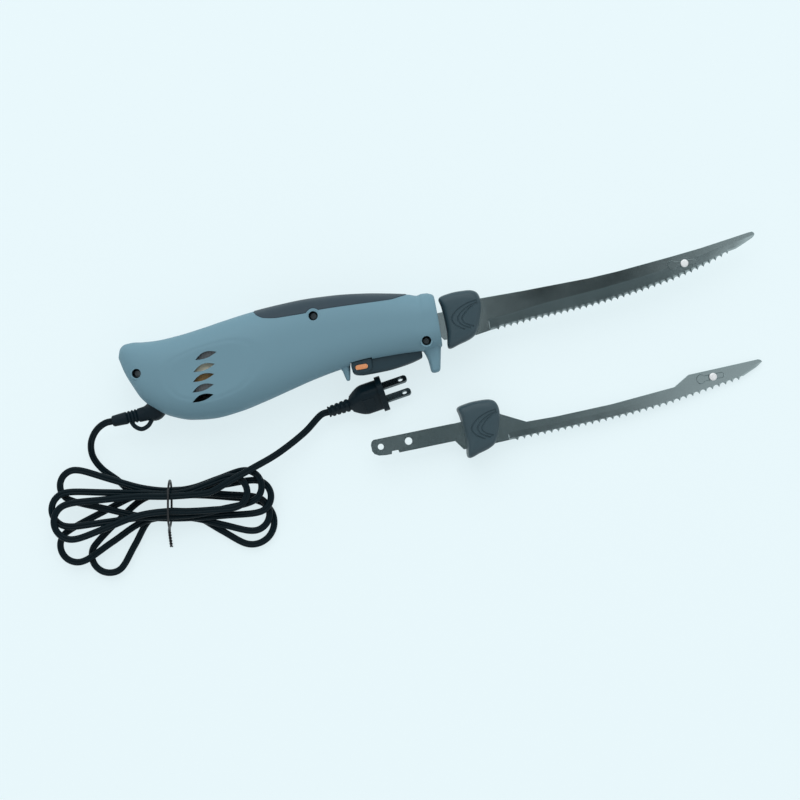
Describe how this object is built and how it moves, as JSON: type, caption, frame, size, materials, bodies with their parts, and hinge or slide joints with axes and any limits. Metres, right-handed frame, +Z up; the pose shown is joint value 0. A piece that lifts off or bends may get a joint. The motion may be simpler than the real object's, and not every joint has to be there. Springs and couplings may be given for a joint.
{
  "type": "electric fillet knife",
  "caption": "Electric fillet knife with soft spine grip, trigger with lock, paired serrated blades, spare blade pair and a flat mains lead in a hank with a plug.",
  "frame": {"origin": "under the middle of the knife and its spare blade set, on the surface it lies on", "axes": "+X along the knife to the blade tip, +Y to the blade's spine, +Z up from the surface"},
  "size_m": [0.4969, 0.1601, 0.044],
  "materials": {
    "slate_body": "fine satin moulded plastic, slate blue-grey",
    "soft_grip": "soft matte grip skin, dark slate",
    "black_plastic": "satin moulded plastic, near black",
    "orange_plastic": "smooth copper-orange moulded plastic",
    "charcoal_plastic": "semi-gloss moulded plastic, charcoal blue",
    "blade_steel": "ground and polished stainless steel",
    "bright_steel": "bright turned steel",
    "core_steel": "varnished electrical sheet stack",
    "frame_metal": "zinc plated sheet frame",
    "copper_winding": "enamelled copper wire",
    "copper_bars": "bare copper commutator bars",
    "bronze_bush": "sintered bronze",
    "brass_sheet": "formed brass sheet",
    "white_nylon": "natural nylon",
    "carbon_black": "matt carbon or black insulated part",
    "cord_vinyl": "black vinyl lead sheath, low gloss"
  },
  "bodies": {
    "handle": {"housing_left": "slate_body", "housing_right": "slate_body", "spine_grip": "soft_grip", "case_screw_rear": "carbon_black", "case_screw_middle": "carbon_black", "case_screw_front": "carbon_black", "nose_bush": "white_nylon", "strain_relief": "cord_vinyl", "trigger_pin": "bright_steel", "trigger_spring": "bright_steel", "switch_body": "carbon_black", "field_core": "core_steel", "field_coil_upper": "copper_winding", "field_coil_lower": "copper_winding", "front_bearing": "bronze_bush", "rear_bearing": "bronze_bush", "rear_bracket": "white_nylon", "brush_holder_left": "brass_sheet", "brush_left": "carbon_black", "brush_holder_right": "brass_sheet", "brush_right": "carbon_black", "gear_frame": "frame_metal", "gear_axle": "bright_steel", "supply_wire": "cord_vinyl", "neutral_wire": "white_nylon", "motor_wire": "cord_vinyl", "cord_lead": "cord_vinyl", "cord_hank": "cord_vinyl", "plug_lead": "cord_vinyl", "twist_tie": "black_plastic", "plug_body": "cord_vinyl", "plug_pin_upper": "bright_steel", "plug_pin_lower": "bright_steel"},
    "armature": {"armature_core": "core_steel", "armature_winding": "copper_winding", "commutator": "copper_bars", "motor_shaft": "bright_steel", "cooling_fan": "carbon_black"},
    "crank": {"crank_gear": "white_nylon"},
    "left_drive": {"carrier_left": "white_nylon", "blade_latch_left": "bright_steel"},
    "right_drive": {"carrier_right": "white_nylon", "blade_latch_right": "bright_steel"},
    "left_blade_set": {"blade_left": "blade_steel", "blade_guard_left": "charcoal_plastic"},
    "right_blade_set": {"blade_right": "blade_steel", "blade_guard_right": "charcoal_plastic", "blade_rivet": "bright_steel"},
    "trigger_lever": {"trigger": "black_plastic"},
    "lock_bolt": {"trigger_lock": "orange_plastic"},
    "plunger": {"switch_plunger": "white_nylon"},
    "spare_lower_set": {"spare_blade_lower": "blade_steel", "spare_guard_lower": "charcoal_plastic", "spare_rivet": "bright_steel"},
    "spare_upper_set": {"spare_blade_upper": "blade_steel", "spare_guard_upper": "charcoal_plastic"}
  },
  "joints": [
    {"name": "rotor_spin", "type": "hinge", "parent": "handle", "child": "armature", "pos_m": [-0.1517, 0.02554, 0.022], "axis": [1, 0, 0], "continuous": true},
    {"name": "crank_spin", "type": "hinge", "parent": "handle", "child": "crank", "pos_m": [-0.0997, 0.04204, 0.022], "axis": [0, 0, 1], "continuous": true},
    {"name": "left_stroke", "type": "slide", "parent": "handle", "child": "left_drive", "axis": [1, 0, 0], "range_m": [-0.0025, 0.0025]},
    {"name": "right_stroke", "type": "slide", "parent": "handle", "child": "right_drive", "axis": [1, 0, 0], "range_m": [-0.0025, 0.0025]},
    {"name": "left_pull_out", "type": "slide", "parent": "left_drive", "child": "left_blade_set", "axis": [1, 0, 0], "range_m": [0, 0.065]},
    {"name": "right_pull_out", "type": "slide", "parent": "right_drive", "child": "right_blade_set", "axis": [1, 0, 0], "range_m": [0, 0.065]},
    {"name": "trigger_press", "type": "hinge", "parent": "handle", "child": "trigger_lever", "pos_m": [-0.0152, 0.01804, 0.022], "axis": [0, 0, -1], "range_deg": [0, 5], "stiffness_Nm_per_rad": 1.5, "springref_deg": -5.73, "deforming": ["trigger_spring"]},
    {"name": "plunger_press", "type": "slide", "parent": "handle", "child": "plunger", "axis": [0, 1, 0], "range_m": [0, 0.0023]},
    {"name": "lock_push", "type": "slide", "parent": "trigger_lever", "child": "lock_bolt", "axis": [0, 0, -1], "range_m": [0, 0.003]},
    {"name": "spare_lift", "type": "slide", "parent": "handle", "child": "spare_lower_set", "axis": [0, 0, 1], "range_m": [0, 0.06]},
    {"name": "spare_blade_slide", "type": "slide", "parent": "spare_lower_set", "child": "spare_upper_set", "axis": [0.9982, 0.0279, -0.0526], "range_m": [-0.005, 0.005]}
  ],
  "couplings": [
    {"joint": "crank_spin", "follows": "rotor_spin", "ratio": -0.1},
    {"joint": "right_stroke", "follows": "left_stroke", "ratio": -1},
    {"joint": "right_pull_out", "follows": "left_pull_out", "ratio": 1},
    {"joint": "plunger_press", "follows": "trigger_press", "m_per_rad": 0.0255}
  ]
}
